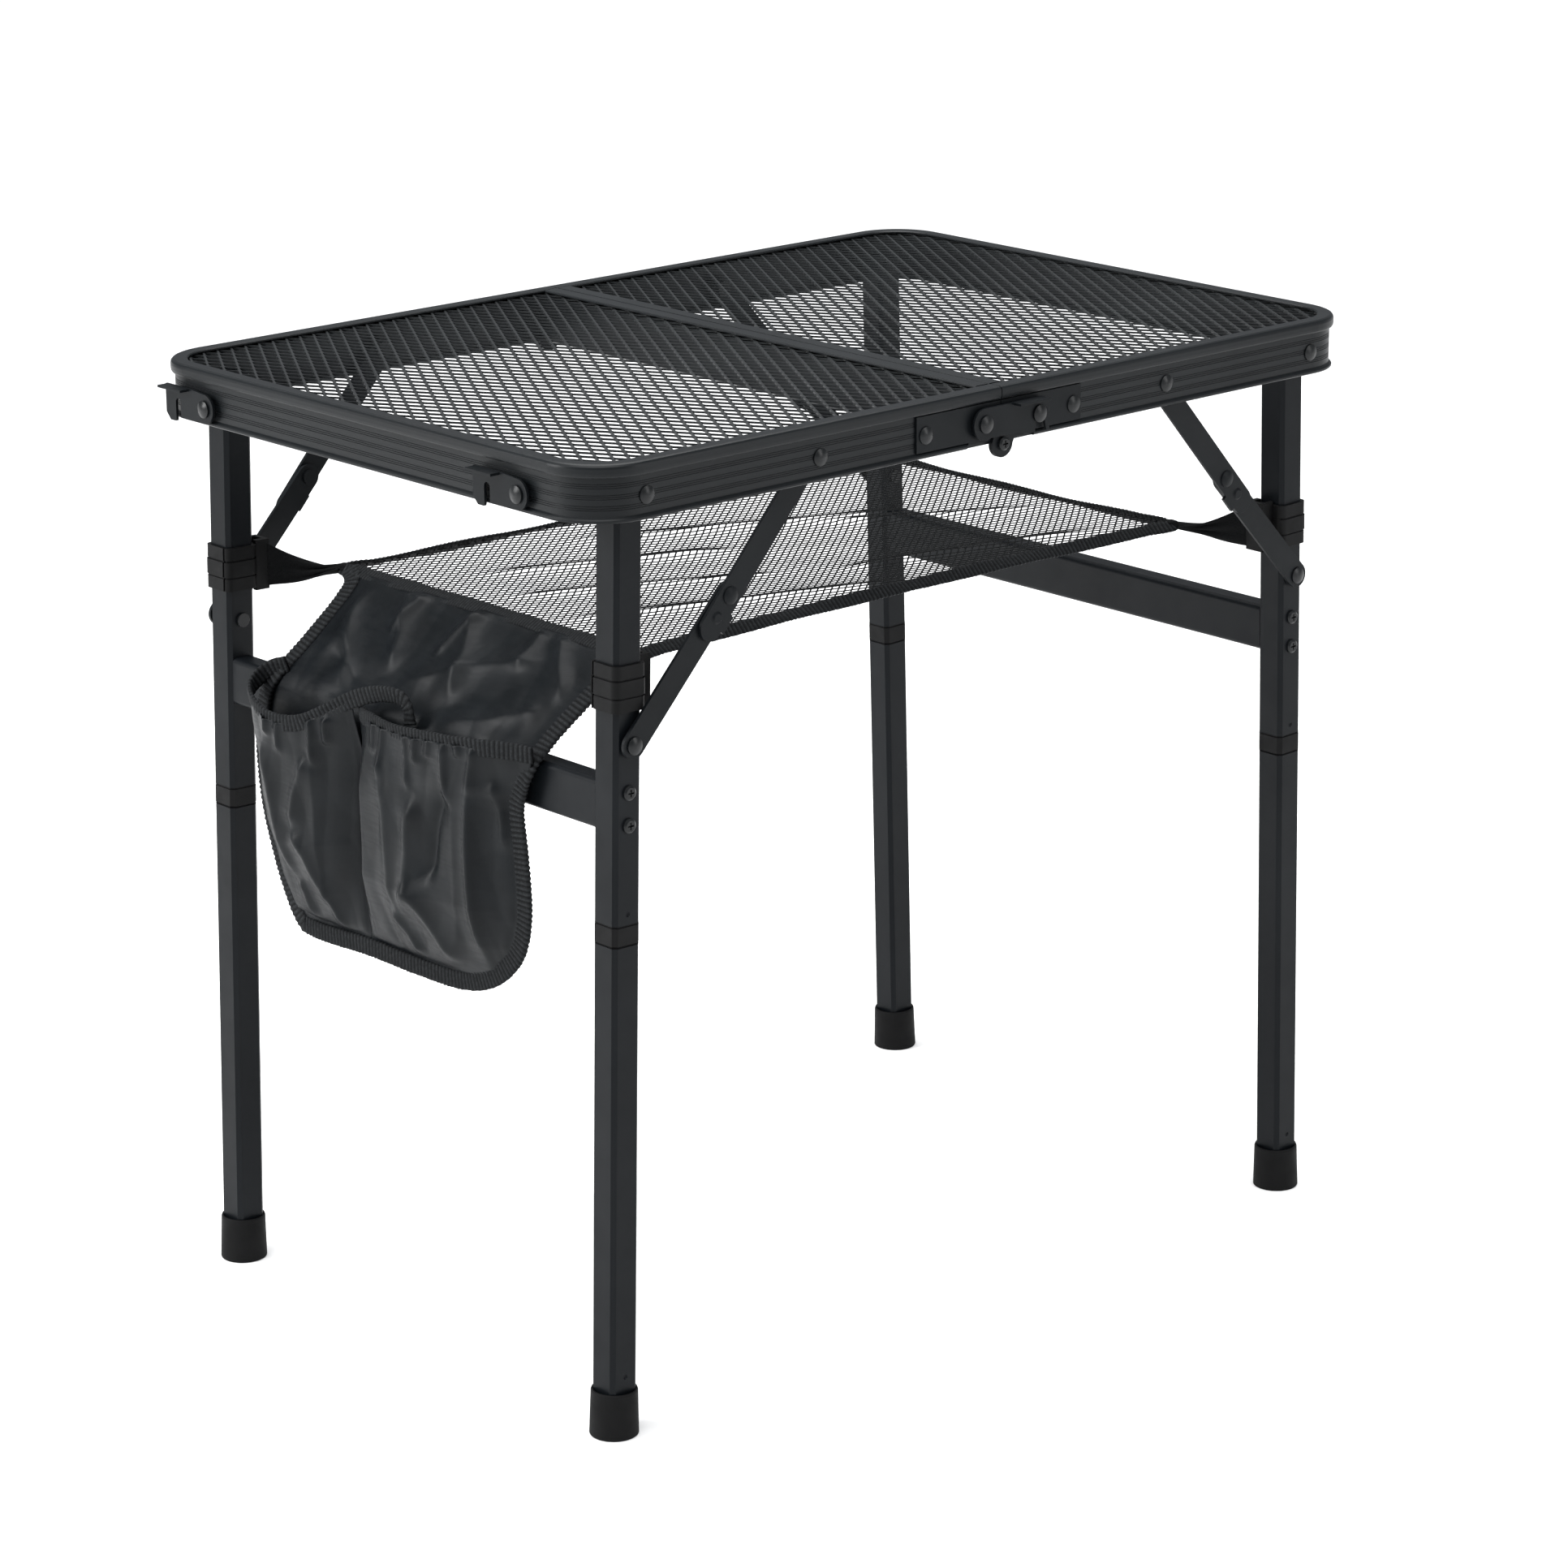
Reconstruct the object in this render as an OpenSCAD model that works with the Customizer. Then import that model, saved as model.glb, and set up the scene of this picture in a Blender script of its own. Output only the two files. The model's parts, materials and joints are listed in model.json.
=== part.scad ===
// Folding camp side table: two hinged mesh-top halves, two folding leg frames with
// pull-off lower legs, locking braces, a hung net shelf and a two-pocket organiser.
// +Z up, floor at z = 0, long side along X, millimetres.

/* [Top] */
// overall length of the open top
top_length = 600; // [500:800]
// overall width of the top
top_width = 400; // [300:500]
// height of the top above the floor
height = 560; // [400:700]
// height of the edge profile
frame_height = 32; // [24:45]
// outer corner radius
corner_radius = 36; // [15:60]
// width of each bar beside the seam
bar_width = 10; // [6:20]
// thickness of the mesh sheet
mesh_t = 1.2; // [0.8:0.1:2.2]
// half the gap at the seam
seam_gap = 0.3; // [0.1:0.1:1]

/* [Legs] */
// side of the square leg tube
leg = 19; // [14:25]
// wall of the leg tube
leg_wall = 1.3; // [1:0.1:2.5]
// corner chamfer of the leg tube
leg_chamfer = 2.4; // [1:0.1:4]
// distance of the leg pivots from the seam
pivot_x = 260; // [200:280]
// height of the pivots above the bottom of the frame
pivot_rise = 13; // [8:20]
// distance of the leg centres from the middle
leg_y = 175; // [120:185]
// outward lean of the legs in degrees
splay = 1.5; // [0:0.1:5]
// distance from pivot to the top of the joint collar
upper_length = 241; // [200:300]
// height of the visible joint collar
collar = 12; // [6:20]
// length of the spigot below the collar
spigot = 44; // [30:60]
// radial clearance between spigot and lower leg
spigot_gap = 0.08; // [0.05:0.01:0.3]

/* [Rails] */
// distance from pivot down to the centre of the rail
rail_drop = 175.5; // [120:220]
// height of the rail
rail_height = 28; // [20:40]
// depth of the rail
rail_depth = 15; // [10:17]

/* [Braces] */
// distance of the brace pivot on the frame from the seam
brace_x = 136; // [100:180]
// distance from leg pivot to brace rivet on the leg
brace_drop = 139.2; // [100:170]
// length of the upper brace link between rivets
link_upper = 90.7; // [60:120]
// width of the brace links
link_width = 15; // [10:20]

/* [Shelf] */
// height of the net shelf
shelf_z = 431; // [380:470]
// half length of the net
shelf_x = 215; // [150:230]
// half width of the net
shelf_y = 131; // [100:150]
// distance from pivot down to the middle of the shelf clips
clip_drop = 108; // [80:130]

/* [Hidden] */

half_l = top_length / 2;
half_w = top_width / 2;
base_z = height - frame_height;
pivot_z = base_z + pivot_rise;
wall_u = 2.4;
wall_t = 1.8;
wall_out = half_w - wall_u;
wall_in = wall_out - wall_t;
ledge_v = 28.2;
slot_top = 30.6;
hinge_z = base_z - 0.4;
leg_face = leg_y + leg / 2;
low_in = 186.9;
strut_t = 2;
top_in = low_in + strut_t + 0.4;
leg_axis_length = pivot_z / cos(splay);
foot_height = 27;
rest_ax = -pivot_x - brace_drop * sin(splay);
rest_az = pivot_z - brace_drop * cos(splay);
span = sqrt(pow(rest_ax + brace_x, 2) + pow(rest_az - pivot_z, 2));
span_angle = atan2(rest_az - pivot_z, rest_ax + brace_x);
straight = 0.02;
link_lower = span - link_upper + straight;
bend = acos((pow(link_upper, 2) + span * span - pow(link_lower, 2)) / (2 * link_upper * span));
knee_angle = span_angle + bend;
knee_x = -brace_x + link_upper * cos(knee_angle);
knee_z = pivot_z + link_upper * sin(knee_angle);
low_angle = atan2(knee_z - rest_az, knee_x - rest_ax);
hook_x = 15;
hook_end = 35;
catch_x = 27;
plate_rivet_x = 58;
plate_low = base_z + 3.4;
plate_high = base_z + 24;
hook_y = 201.1;
hook_t = 1.6;
latch_y = 141;
latch_reach = 25;
catch_z = 2 * hinge_z - base_z - 10 + latch_reach;
black = [0.07, 0.075, 0.08];
dark = [0.045, 0.045, 0.05];
steel = [0.16, 0.165, 0.17];
cloth = [0.05, 0.055, 0.06];

// ---- helpers ----
module front_back() {
    children();
    mirror([0, 1, 0]) children();
}

module to_right() mirror([1, 0, 0]) children();

module at_legs() translate([-pivot_x, 0, pivot_z]) rotate([0, splay, 0]) children();

// cylinder along -Y starting at y = -from, ending at y = -to (to > from)
module along_y(r, from, to) translate([0, -from, 0]) rotate([90, 0, 0]) cylinder(h = to - from, r = r, $fn = 48);

// domed rivet head rising along +Z
module dome(r, h = 2) {
    cap = h * 0.65;
    ball = (r * r + cap * cap) / (2 * cap);
    intersection() {
        cylinder(h = h, r = r, $fn = 48);
        translate([0, 0, h - ball]) sphere(r = ball, $fn = 96);
    }
}

// the same standing out towards -Y from y = -from
module head(r, from, h = 2) translate([0, -from, 0]) rotate([90, 0, 0]) dome(r, h);

module rounded(w, d, r) {
    square([w - 2 * r, d], center = true);
    square([w, d - 2 * r], center = true);
    for (sx = [-1, 1], sy = [-1, 1]) translate([sx * (w / 2 - r), sy * (d / 2 - r)]) circle(r = r, $fn = 32);
}

module chamfered(w, c) {
    h = w / 2;
    k = h - c;
    polygon([[k, h], [-k, h], [-h, k], [-h, -k], [-k, -h], [k, -h], [h, -k], [h, k]]);
}

module tube(w, c, t) {
    difference() {
        chamfered(w, c);
        chamfered(w - 2 * t, c - t * 0.6);
    }
}

// ---- top: edge profile, seam bar, mesh ----
function groove(v) = [[wall_u, v - 0.25], [wall_u + 0.35, v - 0.25], [wall_u + 0.35, v + 0.25], [wall_u, v + 0.25]];
function trio(v) = concat(groove(v - 1.1), groove(v), groove(v + 1.1));

function profile() = concat(
    [[1.2, 0], [0.6, 0.6], [0.6, 1.6], [1.2, 2.4], [wall_u, 3.2]],
    trio(8), trio(14), trio(20),
    [[wall_u, 24.2], [0.6, 24.8], [0.15, 25.6], [0, 27], [0, 29.4], [0.3, 30.6], [1.1, 31.5], [2.3, 32]],
    [[9.3, 32], [10, 31.4], [10, slot_top], [5, slot_top], [5, ledge_v], [11, ledge_v], [11, ledge_v - 1.5]],
    [[wall_u + wall_t, ledge_v - 1.5], [wall_u + wall_t, 1.8], [7.5, 1.8], [7.5, 0]]
);

module edge_run(length) rotate([90, 0, 90]) linear_extrude(height = length) polygon(profile());

module edge_corner() {
    r = corner_radius;
    rotate([0, 0, 180]) rotate_extrude(angle = 90, $fn = 96)
        polygon([for (p = profile()) [r - p[0], p[1]]]);
}

// holes for the rivets through the walls; the pin is the hook's or the catch's
module rivet_holes(pin_x, pin_r, end_r, end_z) {
    front_back() {
        for (x = [pivot_x, brace_x]) translate([-x, 0, pivot_z]) along_y(2.9, wall_in - 1, half_w);
        translate([-plate_rivet_x, 0, pivot_z]) along_y(2.4, wall_in - 1, half_w);
        translate([-pin_x, 0, pivot_z]) along_y(pin_r, wall_in - 1, half_w);
        translate([-half_l - 1, latch_y, end_z]) rotate([0, 90, 0]) cylinder(h = 8, r = end_r, $fn = 48);
    }
}

module half_frame(pin_x, pin_r, end_r, end_z) {
    color(black) difference() {
        union() {
            front_back() {
                translate([corner_radius - half_l, -half_w, base_z]) edge_run(half_l - corner_radius - seam_gap);
                translate([corner_radius - half_l, corner_radius - half_w, base_z]) edge_corner();
            }
            translate([-half_l, half_w - corner_radius, base_z]) rotate([90, 0, 0])
                linear_extrude(height = top_width - 2 * corner_radius) polygon(profile());
        }
        // the bottom lip stops short of the centre hinge
        front_back() translate([-26, -half_w - 1, base_z - 1]) cube([30, 1 + wall_u, 4.3]);
        rivet_holes(pin_x, pin_r, end_r, end_z);
    }
}

module half_bar() {
    w = bar_width;
    color(black) translate([-seam_gap - w, 0, base_z]) rotate([90, 0, 0]) {
        translate([0, 0, -(half_w - 11.05)]) linear_extrude(height = top_width - 22.1) difference() {
            polygon([[0.8, 0], [w - 0.6, 0], [w, 0.6], [w, 31.4], [w - 0.6, 32], [0.8, 32], [0, 31.3], [0, slot_top],
                     [4.8, slot_top], [4.8, ledge_v], [-0.6, ledge_v], [-0.6, ledge_v - 1.5], [0, ledge_v - 1.5], [0, 0.8]]);
            translate([1.6, 1.6]) square([w - 3.2, 23.4]);
        }
        for (s = [-1, 1]) translate([0, 0, s > 0 ? half_w - 11.05 : -wall_in]) linear_extrude(height = wall_in - half_w + 11.05)
            polygon([[0.8, 1.9], [w, 1.9], [w, 26.6], [0.8, 26.6]]);
    }
}

module half_mesh() {
    color(dark) translate([0, 0, base_z + ledge_v]) linear_extrude(height = mesh_t) difference() {
        translate([-half_l + 5.2, -half_w + 5.2]) square([half_l - 5.2 - seam_gap - bar_width + 4.6, top_width - 10.4]);
        for (s = [-1, 1]) translate([-half_l + corner_radius, s * (half_w - corner_radius)]) difference() {
            translate([-corner_radius, s > 0 ? 0 : -corner_radius]) square(corner_radius);
            circle(r = corner_radius - 5.2, $fn = 96);
        }
    }
}

// ---- rivets and bushes fixed to a half ----
module half_rivets() {
    color(steel) front_back() {
        translate([-pivot_x, 0, pivot_z]) {
            head(5, wall_out);
            along_y(2.9, leg_face - leg - 1.9, wall_out);
            along_y(5, leg_face - leg - 1.9, leg_face - leg - 0.4);
        }
        translate([-brace_x, 0, pivot_z]) {
            head(5, wall_out);
            along_y(2.9, top_in - 1.6, wall_out);
            along_y(5, top_in - 1.6, top_in - 0.4);
        }
        translate([-plate_rivet_x, 0, pivot_z]) {
            head(5, wall_out + 1.4);
            along_y(2.4, wall_in - 0.8, wall_out + 1.4);
            along_y(4, wall_in - 0.8, wall_in);
        }
    }
}

module left_rivets() {
    half_rivets();
    // the hooks turn on these
    color(steel) front_back() translate([-hook_x, 0, pivot_z]) {
        head(5, hook_y + hook_t + 0.3);
        along_y(2.4, wall_in - 0.8, hook_y + hook_t + 0.3);
        along_y(5, wall_out + 1.4, hook_y - 0.3);
        along_y(4, wall_in - 0.8, wall_in);
    }
    // the closing latches turn on these, on the short side
    color(steel) for (y = [-latch_y, latch_y]) translate([-half_l + wall_u, y, base_z + 10]) rotate([0, -90, 0]) {
        translate([0, 0, -wall_t - 0.8]) cylinder(h = 7.4, r = 2.4, $fn = 48);
        cylinder(h = 2.5, r = 4.6, $fn = 48);
        translate([0, 0, 4.8]) dome(5);
        translate([0, 0, -wall_t - 0.8]) cylinder(h = 0.8, r = 4, $fn = 48);
    }
}

module right_rivets() {
    to_right() half_rivets();
    // caught by the hooks
    color(steel) front_back() translate([catch_x, 0, pivot_z]) {
        head(5, hook_y + hook_t + 0.4);
        along_y(2, wall_in - 0.8, hook_y + hook_t + 0.4);
        along_y(4, wall_in - 0.8, wall_in);
    }
    // caught by the closing latches when the two halves are shut
    color(steel) for (y = [-latch_y, latch_y]) translate([half_l - wall_u, y, catch_z]) rotate([0, 90, 0]) {
        translate([0, 0, -wall_t - 0.8]) cylinder(h = 7.6, r = 2, $fn = 48);
        translate([0, 0, 5]) cylinder(h = 1.6, r = 4.4, $fn = 48);
        translate([0, 0, -wall_t - 0.8]) cylinder(h = 0.8, r = 4, $fn = 48);
    }
}

module half_bushes() {
    color(dark) front_back() {
        translate([-pivot_x, 0, pivot_z]) difference() {
            along_y(7, leg_face + 0.4, wall_in);
            along_y(2.9, leg_face, wall_in + 1);
        }
        translate([-brace_x, 0, pivot_z]) difference() {
            along_y(6.5, top_in + strut_t + 0.35, wall_in);
            along_y(2.9, top_in, wall_in + 1);
        }
    }
}

// ---- centre hinge ----
module plate_left() {
    color(black) translate([0, -wall_out, 0]) rotate([90, 0, 0]) linear_extrude(height = 1.4) difference() {
        union() {
            translate([-65, plate_low]) square([65 - seam_gap, plate_high - plate_low]);
            translate([-25, hinge_z + 2.4]) square([25 - seam_gap, 4]);
            translate([0, hinge_z]) circle(r = 8, $fn = 64);
            translate([-8, hinge_z]) square([8 - seam_gap, 8]);
        }
        translate([0, hinge_z]) circle(r = 2.4, $fn = 48);
        translate([-plate_rivet_x, pivot_z]) circle(r = 2.4, $fn = 48);
        translate([-hook_x, pivot_z]) circle(r = 2.4, $fn = 48);
    }
}

module plate_right() {
    color(black) difference() {
        union() {
            translate([0, -wall_out, 0]) rotate([90, 0, 0]) linear_extrude(height = 1.4) difference() {
                translate([seam_gap, plate_low]) square([64 - seam_gap, plate_high - plate_low]);
                translate([0, hinge_z]) circle(r = 8.5, $fn = 64);
            }
            // the ear stands one plate thickness further out
            translate([0, -wall_out - 1.4, 0]) rotate([90, 0, 0]) linear_extrude(height = 0.35)
                polygon([[9.5, hinge_z + 2.4], [17, hinge_z + 2.4], [17, hinge_z + 12], [3, hinge_z + 12], [3, hinge_z + 9.2], [7.5, hinge_z + 6.5]]);
            translate([0, -wall_out - 1.75, 0]) rotate([90, 0, 0]) linear_extrude(height = 1.3) {
                translate([0, hinge_z]) circle(r = 8, $fn = 64);
                polygon([[0, hinge_z - 0.5], [8, hinge_z - 0.5], [9.5, hinge_z + 2.4], [17, hinge_z + 2.4], [17, hinge_z + 12], [3, hinge_z + 12], [-4, hinge_z + 6.9]]);
            }
        }
        translate([0, 0, hinge_z]) along_y(2.46, wall_out - 1, wall_out + 4);
        translate([catch_x, 0, pivot_z]) along_y(2, wall_out - 1, wall_out + 4);
        translate([plate_rivet_x, 0, pivot_z]) along_y(2.4, wall_out - 1, wall_out + 4);
    }
}

module cross_recess(depth) {
    for (a = [0, 90]) rotate([0, 0, a]) translate([-2.1, -0.45, -depth]) cube([4.2, 0.9, depth + 1]);
}

module hinge_screws() {
    color(steel) front_back() translate([0, -wall_out - 3.35, hinge_z]) rotate([90, 0, 0]) difference() {
        union() {
            translate([0, 0, -3.3]) cylinder(h = 3.3, r = 2.4, $fn = 48);
            cylinder(h = 1.4, r = 3.9, $fn = 48);
            translate([0, 0, 1.4]) cylinder(h = 0.8, r1 = 3.9, r2 = 2.9, $fn = 48);
        }
        translate([0, 0, 2.2]) cross_recess(1.5);
    }
}

// hook over the catch rivet; its slot opens downwards and leans outwards
module hook() {
    color(black) difference() {
        union() {
            translate([0, -hook_y, 0]) rotate([90, 0, 0]) linear_extrude(height = hook_t) {
                translate([-hook_x, pivot_z]) circle(r = 9.2, $fn = 64);
                polygon([[-hook_x, pivot_z - 8.4], [10, pivot_z - 8.4], [19, pivot_z - 10.4], [hook_end, pivot_z - 10.4],
                         [hook_end, pivot_z + 5], [hook_end - 4, pivot_z + 9.2], [-hook_x, pivot_z + 9.2]]);
            }
            // bent-out finger tab along the top
            translate([6, -hook_y - 8, pivot_z + 8]) cube([24, 8, 1.3]);
        }
        translate([-hook_x, 0, pivot_z]) along_y(2.45, hook_y - 1, hook_y + hook_t + 1);
        translate([catch_x, 0, pivot_z]) along_y(2.4, hook_y - 1, hook_y + hook_t + 1);
        translate([0, -hook_y + 1, 0]) rotate([90, 0, 0]) linear_extrude(height = hook_t + 2)
            polygon([[catch_x - 2.4, pivot_z], [catch_x - 3.5, pivot_z - 11], [catch_x + 5.9, pivot_z - 11], [catch_x + 4, pivot_z - 3.5], [catch_x + 2.4, pivot_z]]);
    }
}

// closing latch on the short side, pivot at -Y end, tip towards +Y
module latch() {
    color(black) translate([-half_l + wall_u - 2.85, 0, base_z + 10]) rotate([0, -90, 0]) difference() {
        union() {
            linear_extrude(height = 1.6) {
                circle(r = 8.6, $fn = 64);
                polygon([[-8.6, 0], [8.6, 0], [9.6, 12], [9.6, 37], [-7, 37], [-11.2, 33], [-11.2, 28], [-8.6, 26]]);
            }
            translate([8.2, 14, 0]) cube([1.4, 22, 8]);
        }
        translate([0, 0, -1]) cylinder(h = 4, r = 2.45, $fn = 48);
        translate([0, latch_reach, -1]) cylinder(h = 4, r = 2.4, $fn = 48);
        translate([-12, latch_reach - 2.4, -1]) cube([12, 4.8, 4]);
    }
}

module front_latch() translate([0, -latch_y, 0]) latch();
module back_latch() translate([0, latch_y, 0]) latch();

// ---- leg frame pieces, local origin on the pivot, legs along -Z ----
module upper_leg() {
    color(black) at_legs() translate([0, -leg_y, 0]) difference() {
        translate([0, 0, -upper_length]) linear_extrude(height = upper_length + 8) tube(leg, leg_chamfer, leg_wall);
        // pivot and brace rivet holes
        translate([0, leg_y, 0]) along_y(2.96, leg_y - leg, leg_y + leg);
        translate([0, leg_y, -brace_drop]) along_y(2.4, leg_y - leg, leg_y + leg);
        // rail screw holes through the outer and inner walls
        for (s = [-1, 1]) translate([0, leg_y, -rail_drop + s * 9.2]) along_y(2, leg_y - leg, leg_y + leg);
        // punched dimple that holds the joint insert
        translate([0, -leg / 2 - 0.6, -upper_length + 6]) sphere(r = 1.5, $fn = 32);
    }
}

module insert() {
    g = leg_wall + 0.02;
    color(dark) at_legs() translate([0, -leg_y, 0]) difference() {
        union() {
            translate([0, 0, -upper_length]) linear_extrude(height = 30) chamfered(leg - 2 * g, leg_chamfer - g * 0.6);
            translate([0, 0, -upper_length - collar]) linear_extrude(height = collar) chamfered(leg + 0.2, leg_chamfer);
            translate([0, 0, -upper_length - collar - spigot]) linear_extrude(height = spigot)
                chamfered(leg - 2 * leg_wall - 2 * spigot_gap, leg_chamfer - leg_wall * 0.6);
        }
        // cored out, and two shadow grooves around the collar
        translate([0, 0, -upper_length - collar - spigot - 1]) cylinder(h = collar + spigot + 40, r = 5.4, $fn = 48);
        for (z = [-0.5, 0.5 - collar]) translate([0, 0, -upper_length + z - 0.4]) linear_extrude(height = 0.8) difference() {
            square(leg + 4, center = true);
            chamfered(leg - 0.8, leg_chamfer);
        }
        translate([0, -leg / 2 - 0.6, -upper_length + 6]) sphere(r = 1.55, $fn = 32);
    }
}

module lower_leg() {
    end = leg_axis_length - 4;
    color(black) at_legs() translate([0, -leg_y, 0]) difference() {
        translate([0, 0, -end]) linear_extrude(height = end - upper_length - collar - 0.35) tube(leg, leg_chamfer, leg_wall);
        // punched dimple that holds the foot
        translate([0, -leg / 2 - 0.6, -end + 32]) sphere(r = 1.5, $fn = 32);
    }
}

module foot() {
    end = leg_axis_length - 4;
    color(dark) difference() {
        at_legs() translate([0, -leg_y, -leg_axis_length]) difference() {
            union() {
                translate([0, 0, -1]) cylinder(h = 1.6, r1 = 13.2, r2 = 14, $fn = 96);
                translate([0, 0, 0.6]) cylinder(h = foot_height - 1.6, r1 = 14, r2 = 13.3, $fn = 96);
                translate([0, 0, foot_height - 1]) cylinder(h = 1, r1 = 13.3, r2 = 12.9, $fn = 96);
            }
            translate([0, 0, 4]) linear_extrude(height = foot_height - 7) chamfered(leg, leg_chamfer);
            // open rim around the tube
            translate([0, 0, foot_height - 3]) cylinder(h = 5, r = 12.1, $fn = 96);
        }
        translate([-half_l - 50, -half_w - 50, -10]) cube([2 * half_l, top_width, 10]);
    }
}

module half_rail() {
    color(black) at_legs() translate([0, 0, -rail_drop]) difference() {
        union() {
            rotate([90, 0, 0]) translate([0, 0, -(leg_y - leg / 2)]) linear_extrude(height = 2 * leg_y - leg) difference() {
                rounded(rail_depth, rail_height, 3);
                rounded(rail_depth - 3, rail_height - 3, 1.6);
            }
            // screw channels of the extrusion
            for (s = [-1, 1]) rotate([90, 0, 0]) translate([0, s * 9.2, -(leg_y - leg / 2)]) linear_extrude(height = 2 * leg_y - leg) difference() {
                union() {
                    circle(r = 3.4, $fn = 48);
                    square([rail_depth - 2, 1.6], center = true);
                }
                circle(r = 2, $fn = 48);
            }
        }
    }
}

module half_rail_screws() {
    color(steel) at_legs() front_back() for (s = [-1, 1]) translate([0, -leg_face, -rail_drop + s * 9.2]) rotate([90, 0, 0]) difference() {
        union() {
            translate([0, 0, -leg - 14]) cylinder(h = leg + 14, r = 2, $fn = 48);
            cylinder(h = 1.2, r = 4.2, $fn = 48);
            translate([0, 0, 1.2]) cylinder(h = 0.8, r1 = 4.2, r2 = 3.1, $fn = 48);
        }
        translate([0, 0, 2]) cross_recess(1.4);
    }
}

module half_leg_rivets() {
    color(steel) at_legs() front_back() translate([0, 0, -brace_drop]) {
        head(5, low_in + strut_t + 0.35);
        along_y(2.4, leg_face - leg - 1.6, low_in + strut_t + 0.35);
        along_y(5.6, leg_face, low_in - 0.35);
        difference() {
            along_y(4.2, leg_face - leg - 1.6, leg_face - leg);
            along_y(2.4, leg_face - leg - 1.7, leg_face - leg + 0.1);
        }
    }
}

// shelf clip: open plastic ring round the leg with a strap loop on the inward side
module clip() {
    w = leg + 3.4;
    color(dark) at_legs() translate([0, -leg_y, -clip_drop]) difference() {
        union() {
            translate([0, 0, -13]) linear_extrude(height = 26) rounded(w, w, 4);
            translate([0, 0, -4.5]) linear_extrude(height = 9) rounded(w + 0.7, w + 0.7, 4.3);
            // loop plate on the inward side
            translate([leg / 2 + 1, leg / 2 - 3, -15]) cube([9, 3.2, 30]);
            translate([leg / 2 + 7.5, leg / 2 - 13, -15]) cube([3, 13.2, 30]);
            translate([leg / 2 + 1, leg / 2 - 13, -15]) cube([9, 2.4, 30]);
        }
        translate([0, 0, -20]) linear_extrude(height = 40) chamfered(leg + 0.04, leg_chamfer);
        // slit at the back of the ring
        translate([-w, leg / 2 - 2.6, -20]) cube([w - leg / 2 + 1, 1.4, 40]);
        // grooves beside the middle rib
        for (s = [-1, 1]) translate([0, 0, s * 5 - 0.5]) linear_extrude(height = 1) difference() {
            square(w + 8, center = true);
            rounded(w - 1, w - 1, 4);
            translate([leg / 2 + 1, -20]) square([20, 40]);
        }
    }
}

// ---- braces ----
module link(a, b, w, y_in, r_hole, tongue = 0) {
    d = sqrt(pow(b[0] - a[0], 2) + pow(b[1] - a[1], 2));
    ang = atan2(b[1] - a[1], b[0] - a[0]);
    translate([a[0], -y_in, a[1]]) rotate([90, 0, 0]) rotate([0, 0, ang]) linear_extrude(height = strut_t) difference() {
        union() {
            circle(r = w / 2, $fn = 48);
            translate([0, -w / 2]) square([d + tongue, w]);
            translate([d + tongue, 0]) circle(r = w / 2, $fn = 48);
        }
        if (r_hole[0] > 0) circle(r = r_hole[0], $fn = 48);
        if (r_hole[1] > 0) translate([d, 0]) circle(r = r_hole[1], $fn = 48);
    }
}

module strut_top() {
    color(black) {
        link([-brace_x, pivot_z], [knee_x, knee_z], link_width, top_in, [2.96, 0], 21);
        // stop tab bent over the lower link, and the locking dimple
        translate([knee_x, -top_in, knee_z]) rotate([90, 0, 0]) rotate([0, 0, knee_angle]) {
            translate([14.5, 0, strut_t]) cylinder(h = 0.9, r1 = 3.6, r2 = 2.4, $fn = 32);
            translate([8, link_width / 2 - 0.2, 0]) cube([11, 2.6, strut_t]);
        }
    }
    // this link's half of the middle rivet
    color(steel) translate([knee_x, 0, knee_z]) head(5, top_in + strut_t);
}

module strut_low() {
    color(black) link([rest_ax, rest_az], [knee_x, knee_z], link_width, low_in, [2.46, 0], 0);
    color(steel) translate([knee_x, 0, knee_z]) along_y(4.4, low_in - 1.4, low_in);
}

// ---- soft goods at rest ----
module shelf_net() {
    color(cloth) translate([0, 0, shelf_z]) cube([2 * shelf_x - 8, 2 * shelf_y - 8, 1.2], center = true);
}

module shelf_binding() {
    color(cloth) translate([0, 0, shelf_z]) linear_extrude(height = 3, center = true) difference() {
        square([2 * shelf_x, 2 * shelf_y], center = true);
        square([2 * shelf_x - 8, 2 * shelf_y - 8], center = true);
    }
}

module shelf_straps() {
    ax = pivot_x - leg / 2 - 11 + clip_drop * sin(splay);
    ay = leg_y - leg / 2 - 1;
    color(cloth) for (m = [0, 1]) mirror([m, 0, 0]) front_back() {
        len = sqrt(pow(ax - shelf_x, 2) + pow(ay - shelf_y, 2));
        translate([-shelf_x, -shelf_y, shelf_z]) rotate([0, 0, atan2(shelf_y - ay, shelf_x - ax)]) {
            rotate([90, 0, 0]) linear_extrude(height = 1.6, center = true) polygon([[0, -2], [0, 2], [len, 11], [len, -11]]);
        }
    }
}

rail_top = pivot_z - (rail_drop - rail_height / 2) * cos(splay);
drape_x = pivot_x + rail_drop * sin(splay) + rail_depth / 2 + 2.5;
sheet_low = 241;
pocket_top = 379;

module organiser_sheet() {
    color(cloth) rotate([90, 0, 0]) {
        translate([0, 0, -112]) linear_extrude(height = 240)
            polygon([[-shelf_x, shelf_z + 0.5], [-drape_x + 1, rail_top + 2.8], [-drape_x - 0.3, rail_top + 1], [-drape_x - 0.3, rail_top - 6],
                     [-drape_x + 0.7, rail_top - 6], [-drape_x + 0.7, rail_top + 0.5], [-drape_x + 1.8, rail_top + 1.8], [-shelf_x, shelf_z - 0.7]]);
        translate([0, 0, -104]) linear_extrude(height = 218)
            polygon([[-drape_x - 0.3, rail_top - 6], [-drape_x - 0.3, sheet_low], [-drape_x + 0.7, sheet_low], [-drape_x + 0.7, rail_top - 6]]);
    }
}

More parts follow.
